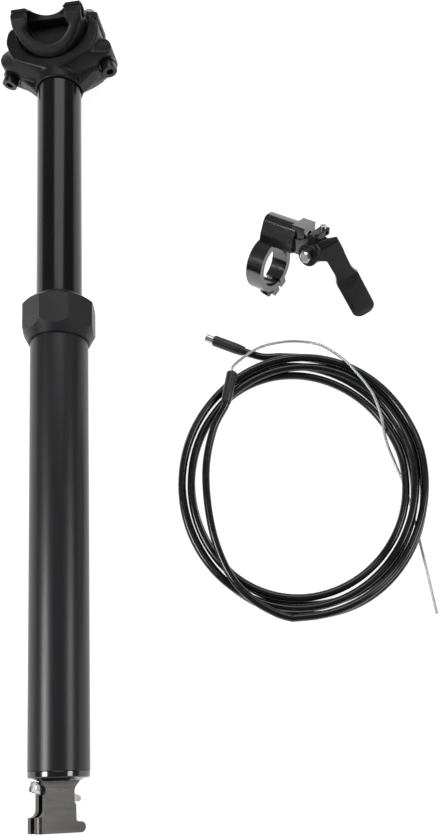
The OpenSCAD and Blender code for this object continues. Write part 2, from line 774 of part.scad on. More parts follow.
// Plain bush inside the lever's hub
module pivot_bush() {
  color("#b08d3c") pivot_frame()
    ring(pivot_r + fit_gap, pivot_r + bush_wall, lug_z[1], hub_z[1] + run_gap - lug_z[1]);
}

// Thumb lever: hub, cable tab, elbow and the blade with its paddle
module remote_lever() {
  blade = rounded([
    [-2, -arm_w / 2], [arm_len - 5, -arm_w / 2 + 0.6], [arm_len, -paddle_w / 2],
    [arm_len + paddle_len, -paddle_w / 2], [arm_len + paddle_len, paddle_w / 2], [arm_len, paddle_w / 2],
    [arm_len - 5, arm_w / 2 - 0.6], [-2, arm_w / 2]
  ], [0, 4, 2, 5.4, 5.4, 2, 4, 0]);
  color("#1c1c1e") difference() {
    union() {
      pivot_frame() {
        translate([0, 0, hub_z[0]]) cylinder(r = hub_r, h = hub_z[1] - hub_z[0]);
        translate([0, 0, hub_z[0]]) linear_extrude(4) polygon(rounded(
          [[-tab_half, 0], [tab_half, 0], [tab_half, tab_out], [-tab_half, tab_out]], [0, 0, 1.5, 1.5]));
        box(-tab_half, tab_half, tab_in, tab_out, cable_at[1] - 3, hub_z[0] + 1);
      }
      hull() {
        pivot_frame() translate([4, 2.6, hub_z[0]]) cylinder(r = 5, h = hub_z[1] - hub_z[0] - 1.4, $fn = 32);
        blade_frame() box(-2, 6, -arm_w / 2, arm_w / 2, -blade_t / 2, blade_t / 2);
      }
      blade_frame() {
        translate([0, 0, -blade_t / 2]) linear_extrude(blade_t) polygon(blade);
        intersection() {
          translate([0, 0, -paddle_t / 2]) linear_extrude(paddle_t) polygon(blade);
          box(arm_len, arm_len + paddle_len + 1, -paddle_w, paddle_w, -paddle_t, paddle_t);
        }
      }
    }
    pivot_frame() {
      translate([0, 0, -20]) cylinder(r = hub_r + 0.58, h = 20 + hub_z[0]);
      translate([0, 0, -20]) cylinder(r = pivot_r + bush_wall + slide_gap, h = 40);
      translate([0, 0, hub_z[1] + fit_gap]) cylinder(r = pivot_head_r + run_gap, h = 20);
      translate([0, cable_at[0] + 4.4 - pivot_at[1], cable_at[1]]) rod_x(wire_r + 0.3, 30);
      translate([0, tab_out - 3.6, cable_at[1]]) rotate([-90, 0, 0]) cylinder(r = pinch_r - 0.4, h = 10);
    }
  }
}

// Rubber pad on the paddle, with ribs across it
module thumb_pad() {
  l = paddle_len - 3.2;
  w = paddle_w - 1.8;
  x0 = arm_len + 1.6;
  step = l / pad_ribs;
  color("#2b2b2d") blade_frame() translate([0, 0, paddle_t / 2]) {
    linear_extrude(pad_t - pad_rib) polygon(rounded(
      [[x0, -w / 2], [x0 + l, -w / 2], [x0 + l, w / 2], [x0, w / 2]], [1.5, 4.6, 4.6, 1.5]));
    for (i = [0:pad_ribs - 3])
      box(x0 + step * (i + 0.7), x0 + step * (i + 1.3), -w / 2 + 0.4, w / 2 - 0.6, pad_t - pad_rib - 0.1, pad_t);
  }
}

// Small screw that pinches the wire in the lever's tab
module pinch_screw() {
  color("#c4c6c8") pivot_frame() translate([0, tab_out, cable_at[1]]) rotate([-90, 0, 0]) difference() {
    union() {
      cylinder(r = pinch_r + 0.5, h = 1.5);
      translate([0, 0, -1.1]) cylinder(r = pinch_r - 0.45, h = 1.1 + cut);
    }
    translate([0, 0, 0.6]) cylinder(r = pinch_r * 0.6, h = 3, $fn = 6);
  }
}

// Centre line of the coil: t counts turns from its start at the top, going clockwise
function coil_angle(t) = 90 - 360 * t;
function coil_climb(t) = smooth((t - climb_from) / climb_turns);
coil_turns = coil_turn_in + upper_turns;
function coil_lift(t) = smooth((t - coil_turns + lift_turns) / (lift_turns - 0.02));
function coil_hump(a) =
  let (off = abs(((a - hump_at + 540) % 360 + 360) % 360 - 180))
  hump_h * (1 - smooth((off - hump_flat) / hump_fall));
function coil_radius(t) =
  coil_r - coil_pitch * coil_turn_in + coil_pitch * abs(t - coil_turn_in)
  - coil_wave * sin(2 * coil_angle(t)) * (1 - 2 * coil_climb(t));
function coil_point(t) =
  let (a = coil_angle(t), r = coil_radius(t))
  [
    coil_at[0] + r * cos(a), coil_at[1] + r * coil_stretch * sin(a),
    floor_z + housing_r + coil_rise * (coil_climb(t) + coil_lift(t)) + coil_hump(a)
  ];
coil_rings = ceil(coil_turns * rings_per_turn);
coil_run = [for (i = [0:coil_rings]) coil_point(coil_turns * i / coil_rings)];
coil_in = unit(coil_point(0.002) - coil_point(0));
coil_out = unit(coil_point(coil_turns) - coil_point(coil_turns - 0.002));
coil_first = coil_run[0] - coil_in * housing_d;
coil_last = coil_run[coil_rings] + coil_out * housing_d;
coil_line = concat([coil_first], coil_run, [coil_last]);

// Least gap between loops, between rings at least a third of a turn apart
loop_apart = rings_per_turn / 3;
loop_gap = min([
  for (i = [0:coil_rings - loop_apart], j = [i + loop_apart:coil_rings]) norm(coil_run[i] - coil_run[j])
]) - housing_d;
echo(loop_gap = loop_gap);

// Lead: from its boot along the table to the start of the coil
lead_z = floor_z + boot_r;
lead_dir = unit([lead_run[0], lead_run[1], 0]);
lead_start = [lead_from[0], lead_from[1], lead_z];
lead_boot_end = lead_start + lead_dir * boot_len;
lead_entry = lead_start + lead_dir * (boot_len - boot_over);
lead_line = concat(
  [lead_entry],
  through([
    lead_boot_end, lead_boot_end + lead_dir * 4, [113, -1, floor_z + housing_r + 0.3],
    coil_first - coil_in * housing_d
  ], 4),
  [coil_first]);

// Tail: from the end of the coil over the loops to its boot
tail_dir = unit([tail_out[0], tail_out[1], 0]);
tail_z = coil_last[2];
tail_start = [90.4, -32.6, tail_z + 0.8];
tail_end = tail_start + tail_dir * boot_len;
tail_line = concat(
  [coil_last],
  through([
    coil_last + coil_out * housing_d, [107.4, -147, tail_z], [90.3, -131, tail_z],
    [82.6, -111.7, tail_z], [78.9, -89.6, tail_z], [78.8, -67.6, tail_z],
    [83.4, -47, tail_z], tail_start - tail_dir * 2, tail_start
  ], 4),
  [tail_start + tail_dir * boot_over]);

// Inner wire: out of the tail's boot, over the lead, round outside the coil, over it and under it again
wire_up = coil_rise + housing_d + wire_r + 0.6;
wire_low = wire_r + 0.1;
wire_line = concat(
  [tail_end - tail_dir * 5],
  through([
    tail_end, tail_end + tail_dir * 4, [103.6, -2, floor_z + 8.6], [109.6, 2.6, floor_z + 6.4],
    [117.2, 6.5, floor_z + 3.2], [128.3, 8.7, floor_z + 1.6], [139.7, 7, floor_z + 2.6],
    [147.3, 2.6, floor_z + 6], [157.2, -7.3, floor_z + wire_up - 0.4], [164.4, -16.5, floor_z + wire_up + 0.3],
    [169.3, -23.6, floor_z + wire_up + 0.3], [172.7, -29.9, floor_z + wire_up], [176.2, -42, floor_z + wire_up - 1.2],
    [177.3, -50.3, floor_z + 6], [179.7, -58, floor_z + 2.8], [184.8, -68.3, floor_z + wire_low],
    [189.3, -84.2, floor_z + wire_low], [195.3, -118.3, floor_z + wire_low], [200.5, -151.9, floor_z + wire_low]
  ], 3));

// Rounded black boot over one end of the housing, drawn from its mouth along +z
module boot() {
  rotate_extrude() polygon([
    [wire_r + 0.3, 0], [boot_r - 0.7, 0], [boot_r, 0.7], [boot_r, boot_len - 4.5], [housing_r + 0.55, boot_len],
    [housing_r + fit_gap, boot_len], [housing_r + fit_gap, boot_len - boot_over - fit_gap],
    [wire_r + 0.3, boot_len - boot_over - fit_gap]
  ]);
}

module along(p, d) {
  translate(p) rotate([0, 90, atan2(d[1], d[0])]) children();
}

// Bright head cast on the wire, seated against the lead's boot
module cable_head() {
  color("#cfd1d2") along(lead_start, -lead_dir) union() {
    cylinder(r = head_r, h = head_len);
    translate([0, 0, -4]) cylinder(r = wire_r, h = 4 + cut);
  }
}

module lead_boot() {
  color("#141415") along(lead_start, lead_dir) boot();
}

module housing_lead() {
  color("#121214") line_tube(lead_line, housing_r, 8);
}

module housing_coil() {
  color("#121214") line_tube(coil_line, housing_r, coil_sides);
}

module housing_tail() {
  color("#121214") line_tube(tail_line, housing_r, 8);
}

module tail_boot() {
  color("#141415") along(tail_end, -tail_dir) boot();
}

module inner_wire() {
  color("#9fa1a3") line_tube(wire_line, wire_r, 8);
}

outer_tube();
collar_nut();
wiper_seal();
upper_bushing();
foot_cap();
cartridge_rod();
cartridge_piston();
actuator_bracket();
rocker_pin();
release_rocker();
release_pin();
stanchion();
post_head();
lower_bushing();
guide_keys();
cartridge_cylinder();
rod_gland();
cartridge_retainer();
clamp_bolts();
bolt_washers();
lower_cradle();
upper_clamp();
barrel_nuts();
remote_clamp();
band_bolt();
pivot_bolt();
pivot_bush();
remote_lever();
thumb_pad();
pinch_screw();
cable_head();
lead_boot();
housing_lead();
housing_coil();
housing_tail();
tail_boot();
inner_wire();
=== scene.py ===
import json
import math

import bmesh
import bpy
from mathutils import Matrix, Vector


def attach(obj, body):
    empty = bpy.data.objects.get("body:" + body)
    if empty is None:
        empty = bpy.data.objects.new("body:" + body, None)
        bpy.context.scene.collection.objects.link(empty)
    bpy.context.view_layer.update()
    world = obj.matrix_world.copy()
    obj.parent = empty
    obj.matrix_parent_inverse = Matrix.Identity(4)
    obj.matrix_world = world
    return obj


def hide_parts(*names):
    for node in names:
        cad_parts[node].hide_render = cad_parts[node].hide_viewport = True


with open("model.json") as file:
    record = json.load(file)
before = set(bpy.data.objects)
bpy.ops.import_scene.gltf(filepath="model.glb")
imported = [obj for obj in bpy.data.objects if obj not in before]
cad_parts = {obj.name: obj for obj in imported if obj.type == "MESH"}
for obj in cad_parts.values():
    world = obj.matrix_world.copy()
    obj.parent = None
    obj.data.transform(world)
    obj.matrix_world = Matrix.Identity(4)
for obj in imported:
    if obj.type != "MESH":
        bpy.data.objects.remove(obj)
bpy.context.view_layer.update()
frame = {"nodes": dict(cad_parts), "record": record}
nodes = frame["nodes"]
bodyOf = {node: body for body, names in frame["record"]["behaviour"]["bodies"].items() for node in names}
scene = bpy.context.scene
scene.view_settings.view_transform = "Standard"
mm = 0.001
print("frame loaded,", len(nodes), "nodes")

table = {
    "height": -23.543758,  # mm, where the foot ring and the saddle clamp touch down
    "postPitch": 1.9034529,  # degrees, the head lies a little higher than the foot
    "remoteAt": (117, 49.8, 15.3),  # middle of the bar clamp, mm above the table
    "remoteTurn": (63.4, -19.3, -35.2),
    "elbowAt": (41.5, 24.5, 2.5),  # where the lever's blade starts, seen from the bar clamp
    "bladeTurn": (-44.7, 26.1, -73.7),
}
floorZ = table["height"]


def turned(angles):
    x, y, z = (math.radians(a) for a in angles)
    return Matrix.Rotation(z, 4, "Z") @ Matrix.Rotation(y, 4, "Y") @ Matrix.Rotation(x, 4, "X")


remoteAt = Vector(table["remoteAt"]) + Vector((0, 0, floorZ))
remoteFrame = Matrix.Translation(remoteAt) @ turned(table["remoteTurn"])
bladeFrame = remoteFrame @ Matrix.Translation(table["elbowAt"]) @ turned(table["bladeTurn"])

# camera at the photograph's viewing angle
view = {
    "focalPixels": 1035.07,
    "imageHeight": 836,
    "sensor": 36,
    "shift": 0.2,
    "nearest": 0.01,
    "at": (80.714, -258.145, 523.366),
    "right": (0.99958586, -0.02877698, 0.0),
    "up": (0.02804841, 0.97427866, 0.22359423),
    "back": (-0.00643437, -0.22350163, 0.97468232),
}
cameraData = bpy.data.cameras.new("camera")
cameraData.sensor_width = view["sensor"]
cameraData.lens = view["focalPixels"] * view["sensor"] / view["imageHeight"]
cameraData.shift_y = view["shift"]
cameraData.clip_start = view["nearest"]
camera = bpy.data.objects.new("camera", cameraData)
scene.collection.objects.link(camera)
cameraTurn = Matrix((view["right"], view["up"], view["back"])).transposed().to_4x4()
camera.matrix_world = Matrix.Translation(Vector(view["at"]) * mm) @ cameraTurn
scene.camera = camera
print("camera set, lens", round(cameraData.lens, 2))


def linear(code):
    # sRGB hex to linear light
    parts = [int(code[i:i + 2], 16) / 255 for i in (1, 3, 5)]
    return (*[c / 12.92 if c <= 0.04045 else ((c + 0.055) / 1.055) ** 2.4 for c in parts], 1)


def addNode(tree, kind, values=None, links=None, **settings):
    node = tree.nodes.new(kind)
    for key, value in settings.items():
        setattr(node, key, value)
    for key, value in (values or {}).items():
        node.inputs[key].default_value = value
    for key, source in (links or {}).items():
        tree.links.new(source, node.inputs[key])
    return node


def noiseOf(tree, place, size, detail):
    # noise whose features have the given size in mm along x, y and z
    spot = addNode(tree, "ShaderNodeMapping", {"Scale": [1 / (mm * s) for s in size]}, {"Vector": place})
    noise = addNode(tree, "ShaderNodeTexNoise", {"Scale": 1, "Detail": detail}, {"Vector": spot.outputs[0]})
    return noise.outputs[0]


def makeFinish(name, spec):
    # colour drifts over a coarse cloud, and a grain of its own size moves the roughness and lifts the surface
    material = bpy.data.materials.new(name)
    material.use_nodes = True
    tree = material.node_tree
    shader = tree.nodes["Principled BSDF"]
    shader.inputs["Metallic"].default_value = spec.get("metallic", 0)
    if "ior" in spec:
        shader.inputs["IOR"].default_value = spec["ior"]
    if "specular" in spec:
        shader.inputs["Specular IOR Level"].default_value = spec["specular"]
    where = addNode(tree, "ShaderNodeTexCoord").outputs["Object"]
    turn = [math.radians(a) for a in spec.get("turn", (0, 0, 0))]
    laid = addNode(tree, "ShaderNodeMapping", {"Rotation": turn}, {"Vector": where}).outputs[0]
    cloud = noiseOf(tree, laid, spec["cloud"], 3)
    grain = noiseOf(tree, laid, spec["grain"], 2)
    spread = addNode(tree, "ShaderNodeMapRange", {"From Min": 0.35, "From Max": 0.65}, {"Value": cloud})
    tint = addNode(
        tree, "ShaderNodeMix", {6: linear(spec["colour"]), 7: linear(spec["drift"])}, {0: spread.outputs[0]},
        data_type="RGBA")
    low, high = spec["roughness"]
    rough = addNode(
        tree, "ShaderNodeMapRange", {"From Min": 0.3, "From Max": 0.7, "To Min": low, "To Max": high},
        {"Value": grain})
    bump = addNode(tree, "ShaderNodeBump", {"Strength": 1, "Distance": spec["relief"] * mm}, {"Height": grain})
    tree.links.new(tint.outputs[2], shader.inputs["Base Color"])
    tree.links.new(rough.outputs[0], shader.inputs["Roughness"])
    tree.links.new(bump.outputs[0], shader.inputs["Normal"])
    return material


along = (90 - table["postPitch"], 0, 0)  # turns a pattern so that its z runs along the post

finishes = {
    # extruded tube, satin black anodised: soft bands of light, fine drawing lines along its length
    "tubeAnodised": dict(
        colour="#161618", drift="#1b1b1d", roughness=(0.3, 0.36), specular=0.4, turn=along,
        cloud=(30, 30, 90), grain=(0.9, 0.9, 40), relief=0.004),
    # turned collar, satin black anodised: a shade rougher on its milled flats
    "collarAnodised": dict(
        colour="#18181a", drift="#1e1e20", roughness=(0.34, 0.44), specular=0.36, turn=along,
        cloud=(14, 14, 14), grain=(6, 6, 0.7), relief=0.003),
    # hard anodised stanchion, ground and polished: one clear stripe, almost a mirror
    "stanchionPolished": dict(
        colour="#0d0d0f", drift="#111113", roughness=(0.14, 0.2), specular=0.36, turn=along,
        cloud=(40, 40, 60), grain=(8, 8, 0.6), relief=0.001),
    # forged head, shot-blasted and painted satin black: grit drawn at 0.7 mm so that it shows
    "forgedPaint": dict(
        colour="#0d0d0e", drift="#131314", roughness=(0.34, 0.46), specular=0.26,
        cloud=(9, 9, 9), grain=(0.7, 0.7, 0.7), relief=0.02),
    # turned foot ring, gloss black anodised
    "ringGloss": dict(
        colour="#0a0a0b", drift="#101011", roughness=(0.1, 0.16), ior=1.77, turn=along,
        cloud=(20, 20, 20), grain=(6, 6, 0.5), relief=0.001),
    # milled and brushed aluminium bracket: lines drawn at 0.5 mm so that they show
    "bracketBrushed": dict(
        colour="#545250", drift="#5e5c5a", metallic=1, roughness=(0.32, 0.46), turn=along,
        cloud=(16, 16, 2.5), grain=(18, 18, 0.5), relief=0.007),
    # polished steel rocker
    "rockerPolished": dict(
        colour="#8f9091", drift="#9a9b9c", metallic=1, roughness=(0.24, 0.32),
        cloud=(6, 6, 6), grain=(3, 3, 0.5), relief=0.001),
    # alloy steel screws with black oxide
    "screwBlack": dict(
        colour="#0d0d0e", drift="#141415", roughness=(0.22, 0.32), specular=0.4,
        cloud=(4, 4, 4), grain=(0.6, 0.6, 0.6), relief=0.006),
    # zinc-plated steel screws, pins and cable head
    "screwZinc": dict(
        colour="#b9bbbd", drift="#cacccd", metallic=1, roughness=(0.22, 0.34),
        cloud=(3, 3, 3), grain=(0.5, 0.5, 0.5), relief=0.006),
    # cast remote body, gloss black anodised: clear reflections on the band
    "remoteGloss": dict(
        colour="#0d0d0e", drift="#131315", roughness=(0.12, 0.18), ior=2.1,
        cloud=(8, 8, 8), grain=(1.2, 1.2, 1.2), relief=0.0008),
    # forged lever, satin black paint with a slight orange peel
    "leverSatin": dict(
        colour="#0b0b0c", drift="#111112", roughness=(0.25, 0.34), specular=0.28,
        cloud=(7, 7, 7), grain=(0.8, 0.8, 0.8), relief=0.012),
    # moulded rubber of the thumb grip and the wiper
    "rubberMoulded": dict(
        colour="#101011", drift="#151516", roughness=(0.5, 0.6), specular=0.3,
        cloud=(5, 5, 5), grain=(0.6, 0.6, 0.6), relief=0.02),
    # nylon boots on the housing's ends
    "bootNylon": dict(
        colour="#121213", drift="#18181a", roughness=(0.34, 0.44), ior=1.53,
        cloud=(5, 5, 5), grain=(0.6, 0.6, 0.6), relief=0.006),
    # extruded PVC sheath of the housing: thin clear lines of light along it
    "sheathGloss": dict(
        colour="#080809", drift="#0c0c0d", roughness=(0.16, 0.24), ior=1.53,
        cloud=(30, 30, 30), grain=(2.5, 2.5, 2.5), relief=0.006),
    # galvanised steel strands of the inner wire
    "wireGalvanised": dict(
        colour="#aeb0b2", drift="#bcbec0", metallic=1, roughness=(0.34, 0.46),
        cloud=(12, 12, 12), grain=(0.8, 0.8, 0.8), relief=0.004),
    # turned aluminium of the gas cartridge
    "cartridgeTurned": dict(
        colour="#a4a6a8", drift="#b3b5b7", metallic=1, roughness=(0.26, 0.36), turn=along,
        cloud=(12, 12, 12), grain=(8, 8, 0.5), relief=0.004),
    # sintered bronze bushes
    "bushBronze": dict(
        colour="#8a6f3c", drift="#9c8048", metallic=1, roughness=(0.36, 0.5),
        cloud=(4, 4, 4), grain=(0.5, 0.5, 0.5), relief=0.008),
    # drawn brass keys and the lever's bush
    "keyBrass": dict(
        colour="#b08d3c", drift="#bf9d4d", metallic=1, roughness=(0.24, 0.34),
        cloud=(6, 6, 6), grain=(0.5, 0.5, 4), relief=0.003),
}
materials = {name: makeFinish(name, spec) for name, spec in finishes.items()}

nodeFinish = {
    "tubeAnodised": ["outer_tube"],
    "collarAnodised": ["collar_nut"],
    "stanchionPolished": ["stanchion"],
    "forgedPaint": ["post_head", "lower_cradle", "upper_clamp"],
    "ringGloss": ["foot_cap"],
    "bracketBrushed": ["actuator_bracket"],
    "rockerPolished": ["release_rocker"],
    "screwBlack": ["clamp_bolts", "bolt_washers", "band_bolt"],
    "screwZinc": [
        "pivot_bolt", "pinch_screw", "cable_head", "rocker_pin", "release_pin", "barrel_nuts", "cartridge_rod"],
    "remoteGloss": ["remote_clamp"],
    "leverSatin": ["remote_lever"],
    "rubberMoulded": ["thumb_pad", "wiper_seal"],
    "bootNylon": ["lead_boot", "tail_boot"],
    "sheathGloss": ["housing_lead", "housing_coil", "housing_tail"],
    "wireGalvanised": ["inner_wire"],
    "cartridgeTurned": ["cartridge_cylinder", "rod_gland", "cartridge_piston", "cartridge_retainer"],
    "bushBronze": ["upper_bushing", "lower_bushing"],
    "keyBrass": ["guide_keys", "pivot_bush"],
}
finishOf = {node: name for name, group in nodeFinish.items() for node in group}


def painted(obj, node):
    obj.data.materials.clear()
    obj.data.materials.append(materials[finishOf[node]])


for node, obj in nodes.items():
    painted(obj, node)
print("materials made,", len(materials))


def settle(obj, node, *others):
    # the piece takes its finish and its body from the CAD node that it stands for, and that node is hidden
    painted(obj, node)
    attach(obj, bodyOf[node])
    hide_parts(node, *others)


def newObject(name, mesh):
    obj = bpy.data.objects.new(name, mesh)
    scene.collection.objects.link(obj)
    return obj


def objectFrom(name, bm):
    mesh = bpy.data.meshes.new(name)
    bm.to_mesh(mesh)
    bm.free()
    return newObject(name, mesh)


def baked(obj):
    # what the modifiers make, as a plain mesh
    bpy.context.view_layer.update()
    mesh = bpy.data.meshes.new_from_object(obj.evaluated_get(bpy.context.evaluated_depsgraph_get()))
    obj.modifiers.clear()
    obj.data = mesh


def shadeSmooth(obj, crease=None):
    obj.data.polygons.foreach_set("use_smooth", [True] * len(obj.data.polygons))
    if crease:
        obj.data.set_sharp_from_angle(angle=math.radians(crease))


def walled(bm, rings):
    # a strip of faces from each ring of points to the next
    n = len(rings[0])
    faces = []
    for low, high in zip(rings, rings[1:]):
        faces += [bm.faces.new((low[j], low[(j + 1) % n], high[(j + 1) % n], high[j])) for j in range(n)]
    return faces


def tubeAlong(name, points, section, roll=lambda run: 0):
    # a closed tube with the given section swept along points in mm, its frame carried along the line
    bm = bmesh.new()
    last = len(points) - 1
    heads = [(points[min(i + 1, last)] - points[max(i - 1, 0)]).normalized() for i in range(last + 1)]
    side = heads[0].cross(Vector((0, 0, 1))).normalized()
    rings, run = [], 0
    for i, (p, t) in enumerate(zip(points, heads)):
        if i:
            side = heads[i - 1].rotation_difference(t) @ side
            run += (p - points[i - 1]).length
        side = (side - t * side.dot(t)).normalized()
        up = side.cross(t)
        ring = []
        for angle, radius in section:
            a = angle + roll(run)
            ring.append(bm.verts.new((p + (side * math.cos(a) + up * math.sin(a)) * radius) * mm))
        rings.append(ring)
    walled(bm, rings)
    bm.faces.new(rings[0])
    bm.faces.new(list(reversed(rings[-1])))
    bmesh.ops.recalc_face_normals(bm, faces=bm.faces)
    tube = objectFrom(name, bm)
    tube.data.polygons.foreach_set("use_smooth", [len(p.vertices) == 4 for p in tube.data.polygons])
    return tube


def through(points, steps):
    # smooth line through given points
    line = []
    last = len(points) - 1
    for i in range(last):
        a, b, c, d = (Vector(points[k]) for k in (max(i - 1, 0), i, i + 1, min(i + 2, last)))
        for j in range(steps):
            t = j / steps
            line.append(0.5 * (
                2 * b + (c - a) * t + (2 * a - 5 * b + 4 * c - d) * t ** 2 + (3 * b - a - 3 * c + d) * t ** 3))
    return line + [Vector(points[last])]


def smooth(x):
    c = max(0, min(1, x))
    return c * c * (3 - 2 * c)


# the cable housing: lead, coil of two layers and tail, one unbroken sheath
housing = {
    "diameter": 4.2, "sides": 16, "bendSteps": 12,
    # coil: its middle and oval, the spacing of its turns and layers, in mm
    "at": (130.2, -77.6), "stretch": 1.105, "radius": 69, "pitch": 5.15, "rise": 4.95, "wave": 1.2,
    # counted in turns from the coil's start: where it stops winding in, climbs a layer and lifts its end
    "turns": 4.5, "turnIn": 2.25, "climbFrom": 2, "climbTurns": 0.5, "liftTurns": 0.2, "levelTurns": 0.02,
    "stepsPerTurn": 96, "shortTurn": 0.002,
    # hump on the right where turns cross, at degrees round the coil
    "humpHeight": 2.2, "humpAt": -9, "humpFlat": 19, "humpFall": 20,
    # boots, and the given ends that run into them
    "bootRadius": 3.05, "bootLength": 18.6, "bootOver": 12,
    "leadFrom": (84.6, 9.9), "leadRun": (17.3, -7.5), "leadStraight": 4, "leadBend": (113, -1, 2.4),
    "tailFrom": (90.4, -32.6), "tailRun": (4.4, 19.2), "tailStraight": 2, "tailLift": 0.8,
    "tailTrack": [
        (113.4, -151.4), (101.2, -143.6), (90.3, -131), (82.6, -111.7), (78.9, -89.6), (78.8, -67.6), (83.4, -47)],
}
sheath = housing["diameter"]


def coilPoint(t):
    h = housing
    angle = 90 - 360 * t
    climb = smooth((t - h["climbFrom"]) / h["climbTurns"])
    lift = smooth((t - h["turns"] + h["liftTurns"]) / (h["liftTurns"] - h["levelTurns"]))
    off = abs((angle - h["humpAt"] + 540) % 360 - 180)
    hump = h["humpHeight"] * (1 - smooth((off - h["humpFlat"]) / h["humpFall"]))
    a = math.radians(angle)
    wound = h["pitch"] * (h["turnIn"] - abs(t - h["turnIn"]))
    r = h["radius"] - wound - h["wave"] * math.sin(2 * a) * (1 - 2 * climb)
    return Vector((
        h["at"][0] + r * math.cos(a), h["at"][1] + r * h["stretch"] * math.sin(a),
        floorZ + sheath / 2 + h["rise"] * (climb + lift) + hump))


coilSteps = math.ceil(housing["turns"] * housing["stepsPerTurn"])
coilRun = [coilPoint(housing["turns"] * i / coilSteps) for i in range(coilSteps + 1)]
coilIn = (coilPoint(housing["shortTurn"]) - coilPoint(0)).normalized()
coilOut = (coilPoint(housing["turns"]) - coilPoint(housing["turns"] - housing["shortTurn"])).normalized()
coilFirst = coilRun[0] - coilIn * sheath
coilLast = coilRun[-1] + coilOut * sheath

leadDir = Vector((*housing["leadRun"], 0)).normalized()
leadStart = Vector((*housing["leadFrom"], floorZ + housing["bootRadius"]))
bootEnd = leadStart + leadDir * housing["bootLength"]
leadEntry = leadStart + leadDir * (housing["bootLength"] - housing["bootOver"])
leadBend = Vector(housing["leadBend"]) + Vector((0, 0, floorZ))
leadTrack = [bootEnd, bootEnd + leadDir * housing["leadStraight"], leadBend, coilFirst - coilIn * sheath]
leadLine = [leadEntry] + through(leadTrack, housing["bendSteps"]) + [coilFirst]

tailDir = Vector((*housing["tailRun"], 0)).normalized()
tailZ = coilLast.z
tailStart = Vector((*housing["tailFrom"], tailZ + housing["tailLift"]))
tailEnd = tailStart + tailDir * housing["bootLength"]
tailTrack = [coilLast + coilOut * sheath] + [(x, y, tailZ) for x, y in housing["tailTrack"]]
tailTrack += [tailStart - tailDir * housing["tailStraight"], tailStart]
tailLine = [coilLast] + through(tailTrack, housing["bendSteps"]) + [tailStart + tailDir * housing["bootOver"]]

housingLine = leadLine + coilRun + tailLine
roundSection = [(2 * math.pi * j / housing["sides"], sheath / 2) for j in range(housing["sides"])]
housingPiece = tubeAlong("cableHousing", housingLine, roundSection)
settle(housingPiece, "housing_coil", "housing_lead", "housing_tail")

# the inner wire: six strands twisted round a core, bare from the tail's boot to its cut end
wire = {
    "diameter": 1.6, "strands": 6, "groove": 0.16, "layLength": 11, "sides": 36,
    "clear": 0.6, "overTable": 0.1, "inBoot": 5, "straight": 4, "bendSteps": 16, "longestStep": 0.9,
}
wireUp = housing["rise"] + sheath + wire["diameter"] / 2 + wire["clear"]
wireLow = wire["diameter"] / 2 + wire["overTable"]
wireTrack = [
    (103.6, -2, 8.6), (109.6, 2.6, 6.4), (117.2, 6.5, 3.2), (128.3, 8.7, 1.6), (139.7, 7, 2.6), (147.3, 2.6, 6),
    (157.2, -7.3, wireUp - 0.4), (164.4, -16.5, wireUp + 0.3), (169.3, -23.6, wireUp + 0.3), (172.7, -29.9, wireUp),
    (176.3, -42, wireUp - 1.2), (177.9, -50.3, 6), (180.4, -58, 2.8), (184.3, -68.3, wireLow),
    (189.3, -84.2, wireLow), (195.3, -118.3, wireLow), (200.5, -151.9, wireLow),
]  # x, y and height over the table
wireRaw = through(
    [tailEnd, tailEnd + tailDir * wire["straight"]] + [(x, y, floorZ + z) for x, y, z in wireTrack],
    wire["bendSteps"])
wireLine = [tailEnd - tailDir * wire["inBoot"]]
for p in wireRaw:
    start = wireLine[-1]
    pieces = max(1, math.ceil((p - start).length / wire["longestStep"]))
    wireLine += [start.lerp(p, (k + 1) / pieces) for k in range(pieces)]
strandSection = []
for j in range(wire["sides"]):
    angle = 2 * math.pi * j / wire["sides"]
    lobe = abs(math.cos(angle * wire["strands"] / 2))
    strandSection.append((angle, wire["diameter"] / 2 - wire["groove"] * (1 - lobe)))
wirePiece = tubeAlong("innerWire", wireLine, strandSection, lambda run: 2 * math.pi * run / wire["layLength"])
settle(wirePiece, "inner_wire")

# frame of the saddle clamp: origin midway between the rails, x along them, y across, z up the post
saddle = {"roll": -9, "railHeight": 187.5, "railAcross": 22, "railRadius": 3.5, "railHalf": 30}
pitch = math.radians(table["postPitch"])
postFrame = Matrix((
    (1, 0, 0, 0), (0, math.sin(pitch), math.cos(pitch), 0), (0, -math.cos(pitch), math.sin(pitch), 0), (0, 0, 0, 1)))
saddleFrame = postFrame @ Matrix.Translation((0, 0, saddle["railHeight"])) @ turned((0, 0, saddle["roll"]))


def arc(radius, mid, start, end, count):
    turns = [math.radians(start + (end - start) * k / count) for k in range(count + 1)]
    return [(radius * math.cos(a), mid + radius * math.sin(a)) for a in turns]


def circle(radius, mid):
    return arc(radius, mid, 0, 350, 35)


def acrossBar(side, outline, low, high):
    # an outline in y and z, pulled along the rails
    return [[(x, side * y, z) for y, z in outline] for x in (low, high)]


def towardsEnd(side, stations):
    # outlines in x and z, each at its own distance from the middle
    return [[(x, side * y, z) for x, z in outline] for y, outline in stations]


def railForm(side):
    rail = [(saddle["railAcross"] + y, z) for y, z in circle(saddle["railRadius"], 0)]
    return acrossBar(side, rail, -saddle["railHalf"], saddle["railHalf"])


# the upper clamp's end: one lip from ear to ear, cut by the rail and by a round dip between the ears
clampEnd = {
    "lip": [(27, 0.4), (27, 2.6), (23, 5), (16, 5.2), (16, 0.4)], "lipHalf": 16,
    "dipRadius": 13.7, "dipLow": 3.6, "dipLowAt": 18, "dipSlope": 0.844, "dipEnds": (40, 10),
}


def clampForms(side):
    e = clampEnd
    dips = []
    for y in e["dipEnds"]:
        middle = e["dipLow"] + e["dipRadius"] - e["dipSlope"] * (y - e["dipLowAt"])
        dips.append((y, circle(e["dipRadius"], middle)))
    filled = [acrossBar(side, e["lip"], -e["lipHalf"], e["lipHalf"])]
    return filled, [railForm(side), towardsEnd(side, dips)], []


